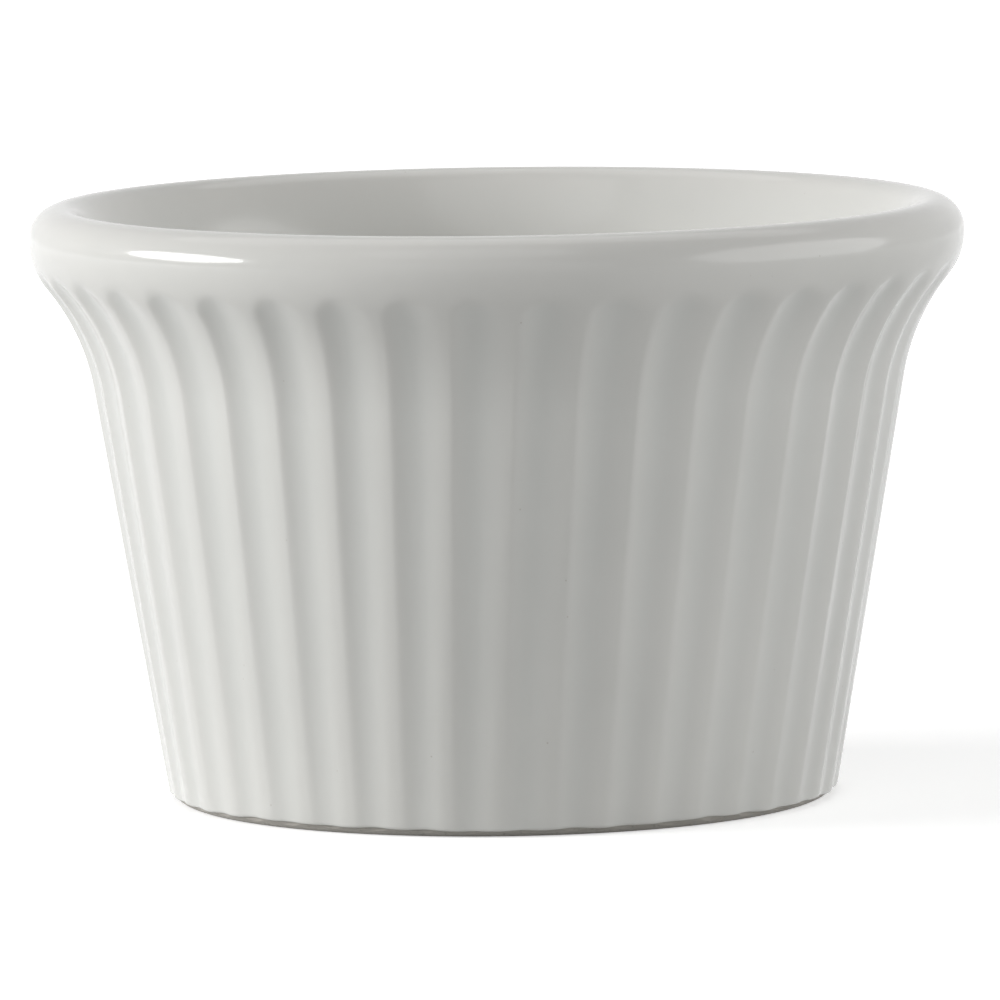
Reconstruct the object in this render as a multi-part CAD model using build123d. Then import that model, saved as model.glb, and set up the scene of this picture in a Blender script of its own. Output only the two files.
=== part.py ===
from build123d import *
import os
from math import acos, asin, atan2, cos, degrees, hypot, pi, radians, sin, sqrt, tan

os.makedirs("parts", exist_ok=True)

# A fluted ramekin of glazed white stoneware, standing upright on its foot ring.
# Millimetres. The origin is the centre of the foot plane and +Z points up.
# The vessel is round about +Z, so its sections are drawn in the plane of X and Z.

# Whole vessel
height = 52.7                # foot plane to the crest of the lip
lip_radius = 41.25           # widest place, at the lip
wall_lean = 9.69             # degrees that the wall leans outward from upright
wall_thickness = 4.2
floor_thickness = 4.6        # middle of the floor, glaze to glaze
floor_round = 9.0            # between the floor and the wall inside

# Flare and lip
lip_overhang = 2.75          # from the line of the straight wall out to the lip, at the crest
lip_outer_round = 2.8        # above the widest place
under_lip_radius = 6.7       # below it
flare_radius = 19.0          # hollow sweep from the straight wall to the under-lip round
lip_inner_round = 2.2
inner_flare_drop = 13.2      # below the crest, where the inside starts to open to the lip

# Foot ring and the recess inside it
foot_width = 3.4
foot_inner_round = 0.6       # the two edges of the bare foot ring
foot_outer_round = 1.2
recess_depth = 1.8
recess_round = 0.8

# Flutes
flute_count = 42
flute_depth = 0.41           # where the flare starts, and on up the flare
flute_foot_depth = 0.2       # they grow shallower and narrower down to the foot
ridge_width = 0.5            # plain land between two flutes where the flare starts
flute_low_share = 0.42       # where across a flute its lowest line lies, from the ridge at its left
flute_lean = 2.0             # degrees that each flute leans sideways
flute_start_angle = 0.7      # degrees from +X to the first flute at half height
cutter_rise = 1.0            # how far the flute cutter stands out of the groove's bottom
cutter_overrun = 2.0         # how far it runs past both ends of the groove

# Glaze
glaze_thickness = 0.3
glaze_line = 0.5             # height of the wiped edge above the foot plane

lean = radians(wall_lean)
wall_foot_radius = lip_radius - lip_overhang - height * tan(lean)
foot_inner_radius = wall_foot_radius - foot_width
floor_top = recess_depth + floor_thickness


def place(r, z):
    """A point of the section, from its radius and its height."""
    return Vector(r, 0, z)


def normal(angle):
    """The direction that leaves the surface at this angle, in degrees above level."""
    return place(cos(radians(angle)), sin(radians(angle)))


def bend(centre, reach, start, end, inset):
    """A round of the outline, from one surface direction to another.

    The reach is the round's radius, and less than zero where the surface is hollow.
    The inset is how far the surface lies under the glazed one."""
    angles = (start, (start + end) / 2, end)
    return ThreePointArc(*(centre + normal(angle) * (reach - inset) for angle in angles))


def joined(first, bends, last):
    """The closed face whose outline runs through the bends, with straight lines between."""
    edges = []
    here = first
    for arc in bends:
        if arc @ 0 != here:
            edges.append(Line(here, arc @ 0))
        edges.append(arc)
        here = arc @ 1
    for there in [*last, first]:
        if there != here:
            edges.append(Line(here, there))
        here = there
    return make_face(Wire(edges))


# The directions in which the straight stretches of the surface face
outward = -wall_lean
inward = 180 - wall_lean
down = -90
to_axis = -180

# Outer wall: the hollow flare touches the straight wall below and the under-lip round above.
# Its centre climbs beside the wall's line until the two rounds touch.
under_lip_centre = place(lip_radius - under_lip_radius, height - lip_outer_round)
up_wall = place(sin(lean), cos(lean))
beside_foot = place(wall_foot_radius, 0) + normal(outward) * flare_radius
to_under_lip = under_lip_centre - beside_foot
across = to_under_lip.dot(normal(outward))
climb = to_under_lip.dot(up_wall) - sqrt((flare_radius + under_lip_radius) ** 2 - across ** 2)
flare_centre = beside_foot + up_wall * climb
flare_height = climb * cos(lean)
to_flare_end = under_lip_centre - flare_centre
flare_end = -degrees(atan2(to_flare_end.Z, -to_flare_end.X))

# Lip: two rounds share the crest
crest_radius = lip_radius - lip_outer_round
lip_outer_centre = place(crest_radius, height - lip_outer_round)
lip_inner_centre = place(crest_radius, height - lip_inner_round)

# Inside: the wall keeps its thickness up to the round that leads into the lip
inner_foot_radius = wall_foot_radius - wall_thickness / cos(lean)
inner_flare_height = height - inner_flare_drop
inner_start = place(inner_foot_radius + inner_flare_height * tan(lean), inner_flare_height)
to_lip = inner_start - lip_inner_centre
along = to_lip.dot(normal(outward))
inner_flare_radius = (lip_inner_round ** 2 - to_lip.length ** 2) / (2 * (along + lip_inner_round))
inner_flare_centre = inner_start + normal(outward) * inner_flare_radius
to_inner_lip = lip_inner_centre - inner_flare_centre
inner_lip_end = degrees(atan2(to_inner_lip.Z, to_inner_lip.X))
floor_round_height = floor_top + floor_round
floor_round_r = inner_foot_radius + floor_round_height * tan(lean) - floor_round / cos(lean)
floor_centre = place(floor_round_r, floor_round_height)

# Foot: a bare ring with rounded edges, and a recess inside it
recess_wall_radius = foot_inner_radius - glaze_thickness
ceiling_round = min(recess_round, recess_depth - glaze_line)
recess_centre = place(recess_wall_radius - ceiling_round, recess_depth - ceiling_round)
foot_inner_centre = place(foot_inner_radius + foot_inner_round, foot_inner_round)
glazed_foot_round = foot_outer_round + glaze_thickness
foot_outer_r = wall_foot_radius + foot_outer_round * tan(lean) - glazed_foot_round / cos(lean)
foot_outer_centre = place(foot_outer_r, foot_outer_round)

# A radius and a height that lie within the clay, where the glaze is cut off by the body
inside_foot = foot_inner_radius + foot_width / 2
inside_floor = recess_depth + floor_thickness / 2


def wall_bends(inset):
    """The rounds from the foot's outer edge over the lip to the floor inside."""
    return [
        bend(foot_outer_centre, glazed_foot_round, down, outward, inset),
        bend(flare_centre, -flare_radius, outward, flare_end, inset),
        bend(under_lip_centre, under_lip_radius, flare_end, 0, inset),
        bend(lip_outer_centre, lip_outer_round, 0, 90, inset),
        bend(lip_inner_centre, lip_inner_round, 90, inner_lip_end, inset),
        bend(inner_flare_centre, inner_flare_radius, inner_lip_end, inward, inset),
        bend(floor_centre, -floor_round, inward, 90, inset),
    ]


def recess_bend(inset):
    """The round between the ceiling of the recess and its wall."""
    return bend(recess_centre, -ceiling_round, down, to_axis, inset)


# Flutes: the groove's bottom runs straight up the wall, turns with the flare, and keeps
# turning so until it comes out through the under-lip round
def pitch_at(z):
    """The width that each flute and its ridge share at this height of the straight wall."""
    return 2 * pi * (wall_foot_radius + z * tan(lean)) / flute_count


# Across a flute, seen from outside, a round comes down from the ridge at the left to the lowest
# line, goes on a little, and a plane that touches it rises to the ridge at the right
flute_width = pitch_at(flare_height) - ridge_width
round_side = flute_width * flute_low_share
plane_side = flute_width - round_side
flute_round = (round_side ** 2 + flute_depth ** 2) / (2 * flute_depth)
above_ridge = flute_round - flute_depth
plane_slope = asin(flute_round / hypot(plane_side, above_ridge)) - atan2(above_ridge, plane_side)

groove_radius = flare_radius + flute_depth
groove_foot = place(wall_foot_radius - flute_foot_depth, 0)
to_flare = flare_centre - groove_foot
groove_slope = atan2(to_flare.Z, to_flare.X) + asin(groove_radius / hypot(to_flare.X, to_flare.Z))
groove_out = degrees(groove_slope) - 90
past_flare = acos((groove_radius ** 2 + to_flare_end.length ** 2 - under_lip_radius ** 2)
                  / (2 * groove_radius * to_flare_end.length))
groove_end = flare_end - degrees(past_flare)


def flute_cutter(inset):
    """The solid that one flute takes away, at +X, before it leans."""
    up = place(cos(groove_slope), sin(groove_slope))
    arc = bend(flare_centre, -groove_radius, groove_out, groove_end, inset)
    start = groove_foot - up * cutter_overrun - normal(groove_out) * inset
    away = arc @ 1 + (arc % 1) * cutter_overrun
    path = Wire([Line(start, arc @ 0), arc, Line(arc @ 1, away)])
    radius = flute_round + inset
    rise = cutter_rise + inset
    low = (0, 0)
    left = (sqrt(2 * radius * rise - rise ** 2), rise)
    touch = (-radius * sin(plane_slope), radius - radius * cos(plane_slope))
    right = (touch[0] - (rise - touch[1]) / tan(plane_slope), rise)
    section = make_face([ThreePointArc(left, low, touch), Line(touch, right), Line(right, left)])
    return sweep(Plane(start, x_dir=(0, -1, 0), z_dir=up) * section, path=path)


def fluted(solid, inset):
    """The solid with the ring of leaning flutes cut into its outside."""
    pivot = Pos(0, 0, height / 2)
    cutter = pivot * Rot(-flute_lean, 0, 0) * pivot.inverse() * flute_cutter(inset)
    ring = PolarLocations(0, flute_count, start_angle=flute_start_angle)
    return solid - [spot * cutter for spot in ring]


def clay_body():
    """The fired body: floor, fluted wall, flared lip and the bare foot ring."""
    foot = [
        recess_bend(glaze_thickness),
        bend(foot_inner_centre, foot_inner_round, to_axis, down, 0),
    ]
    section = joined(place(0, recess_depth + glaze_thickness),
                     foot + wall_bends(glaze_thickness),
                     [place(0, floor_top - glaze_thickness)])
    return fluted(revolve(section, Axis.Z), glaze_thickness)


def glaze_coat(body):
    """The glaze over the inside, the lip and the fluted wall, down to its wiped edge."""
    section = joined(place(inside_foot, 0),
                     wall_bends(0),
                     [place(0, floor_top),
                      place(0, inside_floor),
                      place(inside_foot, inside_floor)])
    above = split(section, bisect_by=Plane.XY.offset(glaze_line), keep=Keep.TOP)
    return fluted(revolve(above, Axis.Z), 0) - body


def underside_glaze(body):
    """The glaze in the recess, inside the bare foot ring."""
    section = joined(place(0, recess_depth),
                     [recess_bend(0)],
                     [place(recess_wall_radius, glaze_line),
                      place(inside_foot, glaze_line),
                      place(inside_foot, inside_floor),
                      place(0, inside_floor)])
    return revolve(section, Axis.Z) - body


body = clay_body()
nodes = {
    "clay_body": body,
    "glaze_coat": glaze_coat(body),
    "underside_glaze": underside_glaze(body),
}
for name, shape in nodes.items():
    shape.label = name
    export_step(shape, f"parts/{name}.step")
    print(name, "solids", len(shape.solids()), "volume", round(shape.volume, 1), shape.bounding_box())
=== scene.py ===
from math import asin, atan2, cos, degrees, hypot, pi, radians, sin, sqrt, tan

import bpy
import numpy as np
from mathutils import Matrix, Vector


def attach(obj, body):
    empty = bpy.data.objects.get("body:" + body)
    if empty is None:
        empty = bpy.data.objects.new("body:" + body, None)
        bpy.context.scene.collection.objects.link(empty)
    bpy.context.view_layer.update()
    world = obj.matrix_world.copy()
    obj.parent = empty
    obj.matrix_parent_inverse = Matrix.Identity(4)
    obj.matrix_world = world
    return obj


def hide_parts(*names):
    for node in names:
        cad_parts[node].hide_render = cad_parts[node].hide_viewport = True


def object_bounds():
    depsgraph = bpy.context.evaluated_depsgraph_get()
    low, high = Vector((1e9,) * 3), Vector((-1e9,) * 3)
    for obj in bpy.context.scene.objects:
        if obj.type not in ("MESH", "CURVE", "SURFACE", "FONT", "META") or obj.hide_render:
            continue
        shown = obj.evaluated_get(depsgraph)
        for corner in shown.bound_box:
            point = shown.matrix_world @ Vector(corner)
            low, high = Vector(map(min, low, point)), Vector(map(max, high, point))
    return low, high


# A small fluted baking cup in white glaze, standing on its bare foot ring on a pale table.
# Lengths are in metres, measured from the centre of the foot plane, with +Z up.
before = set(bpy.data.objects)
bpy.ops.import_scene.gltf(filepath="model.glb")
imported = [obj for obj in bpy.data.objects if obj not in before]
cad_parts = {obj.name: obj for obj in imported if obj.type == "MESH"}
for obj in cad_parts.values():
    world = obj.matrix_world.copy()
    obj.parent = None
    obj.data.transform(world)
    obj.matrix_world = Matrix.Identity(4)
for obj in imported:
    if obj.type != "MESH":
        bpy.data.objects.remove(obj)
cad_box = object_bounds()


# Camera: about a metre from the cup with a long lens, six degrees above level, and turned a
# little clockwise, which is how the cup stands in the photograph.
mm = 0.001
lip_radius = cad_box[1][0]
height = cad_box[1][2]
camera_distance = 23.3 * lip_radius
camera_rise = radians(6.11)
camera_turn = radians(-0.77)
aim_height = 26.1 * mm
photo_width = 1000
lip_radius_in_photo = 466.4
sensor_width = 36.0

camera_data = bpy.data.cameras.new("camera")
camera = bpy.data.objects.new("camera", camera_data)
bpy.context.scene.collection.objects.link(camera)
bpy.context.scene.camera = camera
camera_data.sensor_width = sensor_width
camera_data.lens = sensor_width * lip_radius_in_photo / photo_width * camera_distance / lip_radius
camera_data.clip_start = 0.01
camera_data.clip_end = 20.0
aim = Vector((0, 0, aim_height))
seat = aim + Vector((0, -cos(camera_rise), sin(camera_rise))) * camera_distance
look = (aim - seat).to_track_quat("-Z", "Y").to_matrix().to_4x4()
camera.matrix_world = Matrix.Translation(seat) @ look @ Matrix.Rotation(camera_turn, 4, "Z")


# Clay body: the fired stoneware cup. All of it is under glaze except the foot ring, which is
# wiped bare so that it doesn't stick to the kiln shelf. There the clay is dry, buff and sandy,
# a little browner beside the glaze, and polished grey where it has stood on tables. The band
# beside the glaze and the lowest skin are also darkened as painted contact shadow.
clay_colour = (0.56, 0.54, 0.50, 1)
sand_colour = (0.38, 0.365, 0.335, 1)
flash_and_shadow_colour = (0.41, 0.39, 0.355, 1)
worn_and_shadow_colour = (0.38, 0.37, 0.35, 1)
worn_height = 0.06 * mm          # the foot's lowest skin, which touches the table
# The halo is darker than the clay, partly as painted contact shadow.
flash_and_shadow_start = 0.25 * mm          # the browner halo rises from here to the glaze line
glaze_line = 0.5 * mm
sand_relief = 0.03 * mm


def node(tree, kind, inputs=None, **settings):
    """A new shader node. Each named input takes a plain value or another node's output."""
    made = tree.nodes.new("ShaderNode" + kind)
    for name, value in settings.items():
        setattr(made, name, value)
    for name, value in (inputs or {}).items():
        if isinstance(value, bpy.types.NodeSocket):
            tree.links.new(value, made.inputs[name])
        else:
            made.inputs[name].default_value = value
    return made


def blend(tree, factor, first, second):
    """The colour that goes from the first to the second as the factor goes from 0 to 1."""
    mix = node(tree, "Mix", {0: factor, 6: first, 7: second}, data_type="RGBA")
    return mix.outputs[2]


def ramp(tree, value, start, end, low=0.0, high=1.0):
    """The value's way from start to end, as a number that goes smoothly from low to high."""
    ranges = {"Value": value, "From Min": start, "From Max": end, "To Min": low, "To Max": high}
    return node(tree, "MapRange", ranges, interpolation_type="SMOOTHSTEP").outputs["Result"]


def new_look(name):
    """A new material: itself, its node tree, its shader and its Object coordinates."""
    made = bpy.data.materials.new(name)
    made.use_nodes = True
    place = node(made.node_tree, "TexCoord").outputs["Object"]
    return made, made.node_tree, made.node_tree.nodes["Principled BSDF"], place


def speckle_group():
    """Grains in a cellular pattern: 1 on a grain, 0 between, and each grain its own size.

    A cell is a grain where its random value is above one minus the share. The grain fades out
    at the distance from the cell's middle that equals the size times the random value."""
    group = bpy.data.node_groups.new("speckle", "ShaderNodeTree")
    face = group.interface
    face.new_socket("Place", in_out="INPUT", socket_type="NodeSocketVector")
    for name in ("Scale", "Share", "Size"):
        face.new_socket(name, in_out="INPUT", socket_type="NodeSocketFloat")
    face.new_socket("Mask", in_out="OUTPUT", socket_type="NodeSocketFloat")
    entry = group.nodes.new("NodeGroupInput").outputs
    cells = node(group, "TexVoronoi", {"Vector": entry["Place"], "Scale": entry["Scale"]})
    chance = node(group, "SeparateColor", {"Color": cells.outputs["Color"]}).outputs["Red"]
    rarity = node(group, "Math", {0: 1.0, 1: entry["Share"]}, operation="SUBTRACT").outputs[0]
    chosen = node(group, "Math", {0: chance, 1: rarity}, operation="GREATER_THAN").outputs[0]
    reach = node(group, "Math", {0: chance, 1: entry["Size"]}, operation="MULTIPLY").outputs[0]
    grain = ramp(group, cells.outputs["Distance"], 0.0, reach, 1.0, 0.0)
    mask = node(group, "Math", {0: chosen, 1: grain}, operation="MULTIPLY").outputs[0]
    group.links.new(mask, group.nodes.new("NodeGroupOutput").inputs["Mask"])
    return group


speckle = speckle_group()
clay_look, tree, shader, place = new_look("bare_stoneware")
sand = node(tree, "Group", node_tree=speckle)
tree.links.new(place, sand.inputs["Place"])
for name, value in (("Scale", 2600.0), ("Share", 0.55), ("Size", 0.6)):
    sand.inputs[name].default_value = value
patches = node(tree, "TexNoise", {"Vector": place, "Scale": 240.0, "Detail": 4.0}).outputs["Fac"]
rise = node(tree, "SeparateXYZ", {"Vector": place}).outputs["Z"]
grainy = blend(tree, sand.outputs["Mask"], clay_colour, sand_colour)
patchy = blend(tree, ramp(tree, patches, 0.4, 0.7, 0.0, 0.35), grainy, flash_and_shadow_colour)
# Painted contact shadow: the band beside the glaze and the lowest skin are darkened, on top of
# their flashing and wear.
flashed_and_shaded = blend(tree, ramp(tree, rise, flash_and_shadow_start, glaze_line, 0.0, 0.7), patchy, flash_and_shadow_colour)
worn_and_shadow = ramp(tree, rise, 0.0, worn_height, 0.6, 0.0)
tree.links.new(blend(tree, worn_and_shadow, flashed_and_shaded, worn_and_shadow_colour), shader.inputs["Base Color"])
tree.links.new(ramp(tree, rise, 0.0, worn_height, 0.62, 0.92), shader.inputs["Roughness"])
relief = node(tree, "Math", {0: sand.outputs["Mask"], 1: patches}, operation="ADD").outputs[0]
bump = node(tree, "Bump", {"Height": relief, "Strength": 0.8, "Distance": sand_relief})
tree.links.new(bump.outputs["Normal"], shader.inputs["Normal"])
clay_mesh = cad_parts["clay_body"].data
clay_mesh.materials.clear()
clay_mesh.materials.append(clay_look)


# Glaze coat: the glassy white coat over the inside, the lip and the fluted outside. The cup is
# dipped, wiped clean just above its foot and fired, so the coat rounds the ridges, gathers in
# the flutes and round the floor, and thins over the lip. Its colour is darker and greener in the
# flutes and round the floor, partly for the thicker glaze and partly as painted shade. No two
# flutes are quite alike.
glaze_thickness = 0.3 * mm
wiped_edge = 0.4 * mm            # over this height the coat thins out to its edge
wiped_wave = 0.06 * mm           # the sponge leaves the edge this much up and down
wiped_waves = [(5, 1.0, 0.0), (13, 0.6, 1.0), (31, 0.4, 0.0)]   # how many, how large, start
wave_fade = 3.0 * mm             # above the edge the wave has died out
wall_lean = 9.69                 # degrees
lip_overhang = 2.75 * mm
lip_outer_round = 2.8 * mm
under_lip_radius = 6.7 * mm
flare_radius = 19.0 * mm
lip_inner_round = 2.2 * mm
foot_outer_round = 1.2 * mm
inner_flare_drop = 13.2 * mm
wall_thickness = 4.2 * mm
floor_top = 6.4 * mm
floor_round = 9.0 * mm
wall_step = 1.5 * mm             # between two rows of the mesh where the section is straight

flute_count = 42
flute_depth = 0.41 * mm
flute_foot_depth = 0.2 * mm
ridge_width = 0.5 * mm
flute_low_share = 0.42           # where across a flute its lowest line lies, from its left ridge
flute_lean = radians(2.0)
flute_start = radians(0.7)
ridge_softness = 0.09 * mm
columns_per_flute = 14
gathered_share = 0.55            # the columns lie this much closer on the ridges
depth_spread = 0.05              # one flute differs from the next by this share in depth
side_spread = 0.06 * mm          # and by this much in its place round the wall

lean = radians(wall_lean)
wall_foot_radius = lip_radius - lip_overhang - height * tan(lean)


def point(r, z):
    """A point of the section: radius and height."""
    return np.array([r, z])


def facing(angle):
    """The direction that leaves the surface at this angle, in degrees above level."""
    return point(cos(radians(angle)), sin(radians(angle)))


outward = -wall_lean
inward = 180 - wall_lean
under_lip_centre = point(lip_radius - under_lip_radius, height - lip_outer_round)
up_wall = point(sin(lean), cos(lean))
beside_foot = point(wall_foot_radius, 0) + facing(outward) * flare_radius
to_under_lip = under_lip_centre - beside_foot
across = to_under_lip @ facing(outward)
climb = to_under_lip @ up_wall - sqrt((flare_radius + under_lip_radius) ** 2 - across ** 2)
flare_centre = beside_foot + up_wall * climb
flare_start = point(wall_foot_radius, 0) + up_wall * climb
to_flare_end = under_lip_centre - flare_centre
flare_end = -degrees(atan2(to_flare_end[1], -to_flare_end[0]))
lip_outer_centre = point(lip_radius - lip_outer_round, height - lip_outer_round)
lip_inner_centre = point(lip_radius - lip_outer_round, height - lip_inner_round)
inner_foot_radius = wall_foot_radius - wall_thickness / cos(lean)
inner_start = point(inner_foot_radius + (height - inner_flare_drop) * tan(lean),
                    height - inner_flare_drop)
to_lip = inner_start - lip_inner_centre
along = to_lip @ facing(outward)
inner_flare_radius = (lip_inner_round ** 2 - to_lip @ to_lip) / (2 * (along + lip_inner_round))
inner_flare_centre = inner_start + facing(outward) * inner_flare_radius
to_inner_lip = lip_inner_centre - inner_flare_centre
inner_lip_end = degrees(atan2(to_inner_lip[1], to_inner_lip[0]))
floor_centre = point(inner_foot_radius + (floor_top + floor_round) * tan(lean)
                     - floor_round / cos(lean), floor_top + floor_round)
foot_reach = foot_outer_round + glaze_thickness
foot_centre = point(wall_foot_radius + foot_outer_round * tan(lean) - foot_reach / cos(lean),
                    foot_outer_round)
edge_facing = degrees(asin((glaze_line - foot_outer_round) / foot_reach))
edge = foot_centre + foot_reach * facing(edge_facing)

# Each round of the section: its centre, its radius (less than zero where the surface is
# hollow), the directions that the surface faces at its two ends, and its number of rows
cup_rounds = [
    (foot_centre, foot_reach, edge_facing, outward, 7),
    (flare_centre, -flare_radius, outward, flare_end, 30),
    (under_lip_centre, under_lip_radius, flare_end, 0, 12),
    (lip_outer_centre, lip_outer_round, 0, 90, 12),
    (lip_inner_centre, lip_inner_round, 90, inner_lip_end, 9),
    (inner_flare_centre, inner_flare_radius, inner_lip_end, inward, 12),
    (floor_centre, -floor_round, inward, 90, 12),
]


def section_rows(first, rounds, last, step):
    """Rows of a section: radius, height, and the angle that the surface faces.

    On a round a point is the centre plus the radius times the facing direction, and the facing
    turns evenly. The straights between have even rows, and rows that coincide are one."""
    rows = [np.array([[*first, radians(rounds[0][2])]])]
    for centre, radius, start, end, count in rounds:
        angle = np.radians(np.linspace(start, end, count))
        arc = np.stack([centre[0] + radius * np.cos(angle),
                        centre[1] + radius * np.sin(angle), angle], -1)
        rows += [straight(rows[-1][-1], arc[0], step), arc]
    rows.append(straight(rows[-1][-1], np.array([*last, radians(rounds[-1][3])]), 2 * step))
    rows = np.concatenate(rows)
    moved = np.hypot(np.diff(rows[:, 0]), np.diff(rows[:, 1]))
    return rows[np.r_[True, moved > step / 1000]].T


def straight(here, there, step):
    """Rows evenly spaced from one row to another, without the first of the two."""
    count = max(round(np.hypot(*(there - here)[:2]) / step), 1)
    return here + np.linspace(0, 1, count + 1)[1:, None] * (there - here)


flute_pitch = 2 * pi * flare_start[0] / flute_count
flute_width = flute_pitch - ridge_width
round_side = flute_width * flute_low_share
plane_side = flute_width - round_side
flute_round = (round_side ** 2 + flute_depth ** 2) / (2 * flute_depth)
above_ridge = flute_round - flute_depth
plane_slope = asin(flute_round / hypot(plane_side, above_ridge)) - atan2(above_ridge, plane_side)
low_turn = (ridge_width / 2 + round_side) / flute_pitch - 0.5


def flute_middles(r, z):
    """How deep a flute is at its lowest line for each row.

    The groove's bottom runs straight up the wall and then on a circle about the flare's centre,
    until it comes out through the under-lip round. The depth is how far the row lies outside
    that bottom."""
    groove_radius = flare_radius + flute_depth
    groove_foot = point(wall_foot_radius - flute_foot_depth, 0)
    to_flare = flare_centre - groove_foot
    slope = atan2(to_flare[1], to_flare[0]) + asin(groove_radius / hypot(*to_flare))
    on_wall = (r - groove_foot[0]) * sin(slope) - (z - groove_foot[1]) * cos(slope)
    on_flare = groove_radius - np.hypot(r - flare_centre[0], z - flare_centre[1])
    past_wall = (r - flare_centre[0]) * cos(slope) + (z - flare_centre[1]) * sin(slope) > 0
    return np.where(past_wall, on_flare, on_wall)


def flute_columns(rng):
    """Columns round the cup: each one's turn in flutes, its share across its own flute, its
    sideways shift and its flute's depth factor.

    The share goes from -0.5 on one ridge to 0.5 on the next. A sine of it draws the columns to
    the ridges. The shift goes evenly from one flute's to the next one's."""
    even = np.arange(columns_per_flute) / columns_per_flute - 0.5
    share = np.tile(even + gathered_share * np.sin(2 * pi * even) / (2 * pi), flute_count)
    flute = np.repeat(np.arange(flute_count), columns_per_flute)
    shifts = side_spread * rng.standard_normal(flute_count)
    shift = np.interp(flute + share, np.arange(flute_count), shifts, period=flute_count)
    depths = 1 + depth_spread * rng.standard_normal(flute_count)
    return flute + share, share, shift, depths[flute]


def flute_cuts(r, z, share, depth_factor):
    """How deep the surface is cut at each row and column.

    Across a flute the surface rises from the lowest line on a round, which at the right turns
    into a plane that touches it. The cut ends as half of x plus the root of x squared plus a
    softness squared, which rounds the ridges."""
    off_low = (share - low_turn) * 2 * pi / flute_count * r[:, None]
    touch = flute_round * sin(plane_slope)
    on_round = flute_round - np.sqrt(flute_round ** 2 - np.minimum(off_low, touch) ** 2)
    rise = on_round + np.maximum(off_low - touch, 0) * tan(plane_slope)
    cut = flute_middles(r, z)[:, None] * depth_factor - rise
    return (cut + np.sqrt(cut ** 2 + ridge_softness ** 2)) / 2


def turned_grid(name, r, z, theta, depth_and_shade):
    """A closed mesh from rows and columns of radius, height and angle about the axis.

    A point is the radius times the cosine and sine of the angle, and the height. The first and
    last row are each one point on the axis. The depth share is kept for the glaze's colour, which
    deepens where the glaze gathers and where shade is painted."""
    rows, columns = r.shape
    ring = np.stack([r * np.cos(theta), r * np.sin(theta), z], -1)[1:-1].reshape(-1, 3)
    places = np.concatenate([ring, [[0, 0, z[0, 0]], [0, 0, z[-1, 0]]]])
    shares = np.concatenate([depth_and_shade[1:-1].ravel(), depth_and_shade[[0, -1], 0]])
    near = np.arange(columns)
    far = (near + 1) % columns
    base = np.arange(rows - 3)[:, None] * columns
    quads = np.stack([base + near, base + far, base + columns + far, base + columns + near], -1)
    end = (rows - 3) * columns
    first_cap = np.stack([np.full(columns, len(ring)), far, near], -1)
    last_cap = np.stack([end + near, end + far, np.full(columns, len(ring) + 1)], -1)
    corners = np.concatenate([quads.ravel(), first_cap.ravel(), last_cap.ravel()])
    sizes = np.concatenate([np.full(quads.size // 4, 4), np.full(2 * columns, 3)])
    mesh = bpy.data.meshes.new(name)
    mesh.vertices.add(len(places))
    mesh.vertices.foreach_set("co", places.ravel())
    mesh.loops.add(len(corners))
    mesh.loops.foreach_set("vertex_index", corners)
    mesh.polygons.add(len(sizes))
    mesh.polygons.foreach_set("loop_start", np.concatenate([[0], np.cumsum(sizes)[:-1]]))
    mesh.update(calc_edges=True)
    mesh.shade_smooth()
    mesh.attributes.new("glaze_depth_and_shade", "FLOAT", "POINT").data.foreach_set("value", shares)
    piece = bpy.data.objects.new(name, mesh)
    bpy.context.scene.collection.objects.link(piece)
    return piece


def wiped_thinning(way):
    """How far the coat sinks towards the clay, from its full thickness at the wiped edge to
    nothing, along a quarter circle over the edge's width."""
    off_edge = 1 - np.clip(way / wiped_edge, 0, 1)
    return glaze_thickness * (1 - np.sqrt(1 - off_edge ** 2))


def coat_rows(r, z, a, sunk, spacing):
    """The shown side of a coat, sunk along its facing direction, its hidden side against the
    clay, a glaze thickness further in, and the rows that the hidden side keeps: one in each
    spacing, and the last."""
    shown = (r - sunk * np.cos(a), z - sunk * np.sin(a))
    sunk = sunk + glaze_thickness
    hidden = (r - sunk * np.cos(a), z - sunk * np.sin(a))
    keep = np.r_[0:len(z) - 1:spacing, len(z) - 1]
    return shown, hidden, keep


turn, share, shift, depth_factor = flute_columns(np.random.default_rng(seed=42))
r, z, a = section_rows(edge, cup_rounds, (0, floor_top), wall_step)
outer = np.arange(len(z)) <= np.argmax(z)
cuts = flute_cuts(np.maximum(r, wall_step), z, share, depth_factor) * outer[:, None]
thinning = wiped_thinning(z - glaze_line) * outer
sunk = cuts + thinning[:, None]
lean_side = (z - height / 2) * sin(flute_lean)
lean_turn = np.arcsin(lean_side / np.maximum(r, wall_foot_radius))
lean_turn = np.where(outer, lean_turn, lean_turn[outer][-1])
low_line = flute_start + lean_turn[:, None] + shift / lip_radius
theta = low_line + (turn - low_turn) * 2 * pi / flute_count
wave = wiped_wave * sum(size * np.sin(count * theta + start)
                        for count, size, start in wiped_waves)
lift = wave * (np.clip(1 - (z - glaze_line) / wave_fade, 0, 1) * outer)[:, None]
(shown_r, shown_z), (hidden_r, hidden_z), keep = coat_rows(
    r[:, None] + lift * tan(lean), z[:, None] + lift, a[:, None], sunk, spacing=4)

plain_depth = 0.4                # how deep the glaze's colour is, from 0 to 1, on a plain wall
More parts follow.
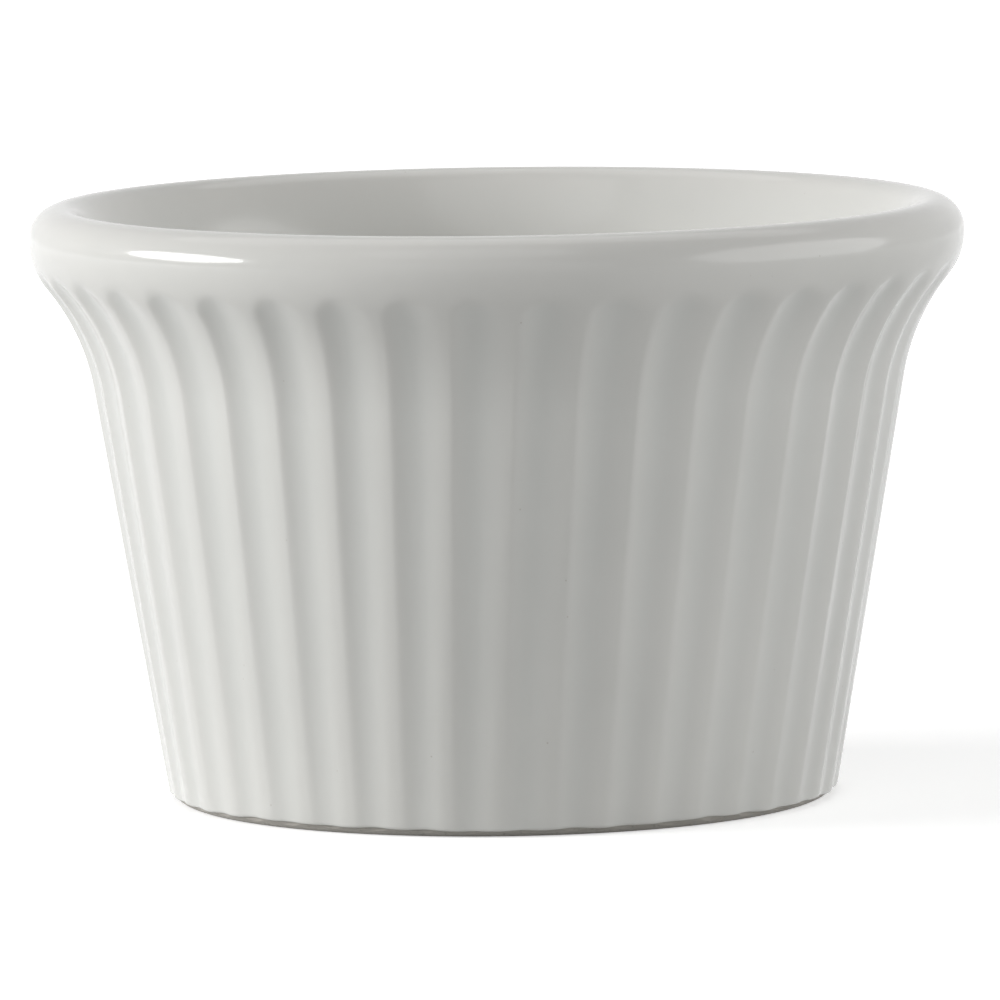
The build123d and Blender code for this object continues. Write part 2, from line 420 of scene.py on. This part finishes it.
# Painted shade: the colour deepens in the flutes and the floor's round also because shade falls
# there.
flute_pool_and_shade = 0.5                 # the glaze gathers in the flutes and in the floor's round
corner_pool_and_shade = 0.4
lip_loss = 0.4                   # and runs off the lip
in_flute = np.clip(cuts / flute_depth, 0, 1)
on_lip = np.clip(1 - (height - z) / lip_outer_round, 0, 1)
round_floor = np.clip((floor_centre[1] - z) / floor_round, 0, 1) * np.sin(a) * ~outer
in_corner = 4 * round_floor * (1 - round_floor)
along_section = plain_depth + in_corner * corner_pool_and_shade - on_lip * lip_loss
glaze_depth_and_shade = in_flute * flute_pool_and_shade + along_section[:, None]
glaze = turned_grid("glaze_skin",
                    np.concatenate([hidden_r[keep][::-1], shown_r]),
                    np.concatenate([hidden_z[keep][::-1], shown_z]),
                    np.concatenate([theta[keep][::-1], theta]),
                    np.concatenate([glaze_depth_and_shade[keep][::-1], glaze_depth_and_shade]))

thin_colour = (0.80, 0.79, 0.755, 1)     # where the depth of the glaze is 0
deep_and_shaded_colour = (0.765, 0.775, 0.745, 1)   # where it is 1
cloud_colour = (0.70, 0.71, 0.68, 1)
speck_colour = (0.42, 0.37, 0.30, 1)
dimple_relief = 0.012 * mm

glaze_look, tree, shader, place = new_look("white_glaze")
gathered_and_shaded = node(tree, "Attribute", attribute_name="glaze_depth_and_shade").outputs["Fac"]
clouds = node(tree, "TexNoise", {"Vector": place, "Scale": 70.0, "Detail": 3.0}).outputs["Fac"]
specks = node(tree, "Group", node_tree=speckle)
tree.links.new(place, specks.inputs["Place"])
for name, value in (("Scale", 500.0), ("Share", 0.3), ("Size", 0.07)):
    specks.inputs[name].default_value = value
# The deep colour in the flutes and the floor's round is partly painted shade.
coated = blend(tree, gathered_and_shaded, thin_colour, deep_and_shaded_colour)
cloudy = blend(tree, ramp(tree, clouds, 0.4, 0.75, 0.0, 0.25), coated, cloud_colour)
faint = node(tree, "Math", {0: specks.outputs["Mask"], 1: 0.5}, operation="MULTIPLY").outputs[0]
tree.links.new(blend(tree, faint, cloudy, speck_colour), shader.inputs["Base Color"])
dulling = node(tree, "TexNoise", {"Vector": place, "Scale": 160.0, "Detail": 4.0}).outputs["Fac"]
tree.links.new(ramp(tree, dulling, 0.35, 0.75, 0.10, 0.17), shader.inputs["Roughness"])
shader.inputs["IOR"].default_value = 1.52
shader.inputs["Specular IOR Level"].default_value = 0.36
waves = node(tree, "TexNoise", {"Vector": place, "Scale": 110.0, "Detail": 1.0}).outputs["Fac"]
dimples = node(tree, "TexNoise", {"Vector": place, "Scale": 650.0, "Detail": 1.0}).outputs["Fac"]
relief = node(tree, "Math", {0: dimples, 1: 0.3, 2: waves}, operation="MULTIPLY_ADD").outputs[0]
bump = node(tree, "Bump", {"Height": relief, "Strength": 1.0, "Distance": dimple_relief})
tree.links.new(bump.outputs["Normal"], shader.inputs["Normal"])
glaze.data.materials.append(glaze_look)
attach(glaze, "root")
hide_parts("glaze_coat")


# Underside glaze: the same glaze on the sunk underside, inside the bare foot ring. It is a
# separate coat, because the wiped ring parts it from the coat outside, and it thins out to its
# own wiped edge on the wall of the recess.
foot_width = 3.4 * mm
recess_depth = 1.8 * mm
recess_round = 0.8 * mm
recess_glaze = 0.5               # the colour's depth here, a little over that of the plain wall

recess_radius = wall_foot_radius - foot_width - glaze_thickness
recess_centre = point(recess_radius - recess_round, recess_depth - recess_round)
recess_rounds = [(recess_centre, -recess_round, -90, -180, 10)]
r, z, a = section_rows((0, recess_depth), recess_rounds, (recess_radius, glaze_line),
                       2 * wiped_edge)
thinning = wiped_thinning(np.where(r < recess_centre[0], recess_depth, z - glaze_line))
theta = np.broadcast_to(turn * 2 * pi / flute_count, (len(z), len(turn)))
(shown_r, shown_z), (hidden_r, hidden_z), keep = coat_rows(
    r[:, None], z[:, None], a[:, None], np.broadcast_to(thinning[:, None], theta.shape), spacing=2)
# The colour deepens in the recess's round corner, partly as painted shade.
in_corner = np.clip(1 - np.abs(r - recess_centre[0]) / recess_round, 0, 1)
glaze_depth_and_shade = np.broadcast_to((recess_glaze + corner_pool_and_shade * in_corner)[:, None], theta.shape)
underside = turned_grid("underside_skin",
                        np.concatenate([shown_r, hidden_r[keep][::-1]]),
                        np.concatenate([shown_z, hidden_z[keep][::-1]]),
                        np.concatenate([theta, theta[keep][::-1]]),
                        np.concatenate([glaze_depth_and_shade, glaze_depth_and_shade[keep][::-1]]))
underside.data.materials.append(glaze_look)
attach(underside, "root")
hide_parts("underside_glaze")


# Table: a plain pale top that glows where the camera or a reflection sees it, so that it reads as
# a white ground. The glow is weaker close to the cup, where the cup's soft shadow has to show. The
# table sends only a part of its light back up to the cup.
table_reach = 5.0
table_colour = (0.9, 0.9, 0.9, 1)
returned_colour = (0.6, 0.6, 0.6, 1)
glow_by_cup = 0.52               # up to growth_start from the middle of the foot
glow_far_off = 0.94              # from growth_end on, where the lamps give the table less light
growth_start = 0.1
growth_end = 1.2

corners = [(-table_reach, -table_reach, 0), (table_reach, -table_reach, 0),
           (table_reach, table_reach, 0), (-table_reach, table_reach, 0)]
table_mesh = bpy.data.meshes.new("table")
table_mesh.from_pydata(corners, [], [(0, 1, 2, 3)])
table = bpy.data.objects.new("table", table_mesh)
bpy.context.scene.collection.objects.link(table)


def seen_or_mirrored(tree):
    """1 for a ray from the camera, a reflection or a clear thing, and 0 for the light's own."""
    path = node(tree, "LightPath").outputs
    seen = node(tree, "Math", {0: path["Is Camera Ray"], 1: path["Is Glossy Ray"]},
                operation="MAXIMUM").outputs[0]
    return node(tree, "Math", {0: seen, 1: path["Is Transmission Ray"]},
                operation="MAXIMUM").outputs[0]


table_look, tree, shader, place = new_look("pale_table")
grain = node(tree, "TexNoise", {"Vector": place, "Scale": 40.0, "Detail": 3.0}).outputs["Fac"]
tree.links.new(ramp(tree, grain, 0.3, 0.7, 0.86, 0.94), shader.inputs["Roughness"])
seen = seen_or_mirrored(tree)
tree.links.new(blend(tree, seen, returned_colour, table_colour), shader.inputs["Base Color"])
shader.inputs["Emission Color"].default_value = (1, 1, 1, 1)
away = node(tree, "VectorMath", {0: place}, operation="LENGTH").outputs["Value"]
growing = ramp(tree, away, growth_start, growth_end, glow_by_cup, glow_far_off)
glow = node(tree, "Math", {0: seen, 1: growing}, operation="MULTIPLY").outputs[0]
tree.links.new(glow, shader.inputs["Emission Strength"])
table_mesh.materials.append(table_look)


# Light: a low softbox at the left, a wider and weaker one at the right, a dim one in front, two
# high ones in front and behind, and an even white room that the camera and the glaze's reflections
# see as a plain white ground.
room_light = 0.01


def softbox(name, turned, raised, distance, width, tall, power):
    """An oval lamp aimed at the cup's middle. Its place is given as an angle round the cup from
    the camera, to the right, an angle above level, and a distance. Its size is a width and a
    height, and its power is in watts."""
    data = bpy.data.lights.new(name, "AREA")
    data.shape = "ELLIPSE"
    data.size = width
    data.size_y = tall
    data.energy = power
    away = Vector((sin(radians(turned)) * cos(radians(raised)),
                   -cos(radians(turned)) * cos(radians(raised)), sin(radians(raised))))
    lamp = bpy.data.objects.new(name, data)
    lamp.location = aim + away * distance
    lamp.rotation_euler = away.to_track_quat("Z", "Y").to_euler()
    bpy.context.scene.collection.objects.link(lamp)


softbox("left_softbox", -84, 18, 1.2, 0.8, 0.42, 11.0)
softbox("front_softbox", -3, 12, 1.4, 1.7, 1.0, 2.5)
softbox("right_softbox", 80, 16, 1.2, 1.4, 1.0, 6.9)
softbox("high_softbox", -10, 58, 1.3, 1.0, 0.9, 1.8)
softbox("back_softbox", 180, 65, 1.2, 1.6, 0.8, 2.5)

world = bpy.data.worlds.new("studio")
bpy.context.scene.world = world
world.use_nodes = True
tree = world.node_tree
seen = seen_or_mirrored(tree)
room = node(tree, "MapRange", {"Value": seen, "To Min": room_light, "To Max": 1.0})
tree.links.new(room.outputs["Result"], tree.nodes["Background"].inputs["Strength"])
tree.nodes["Background"].inputs["Color"].default_value = (1, 1, 1, 1)

bpy.context.scene.view_settings.view_transform = "Standard"
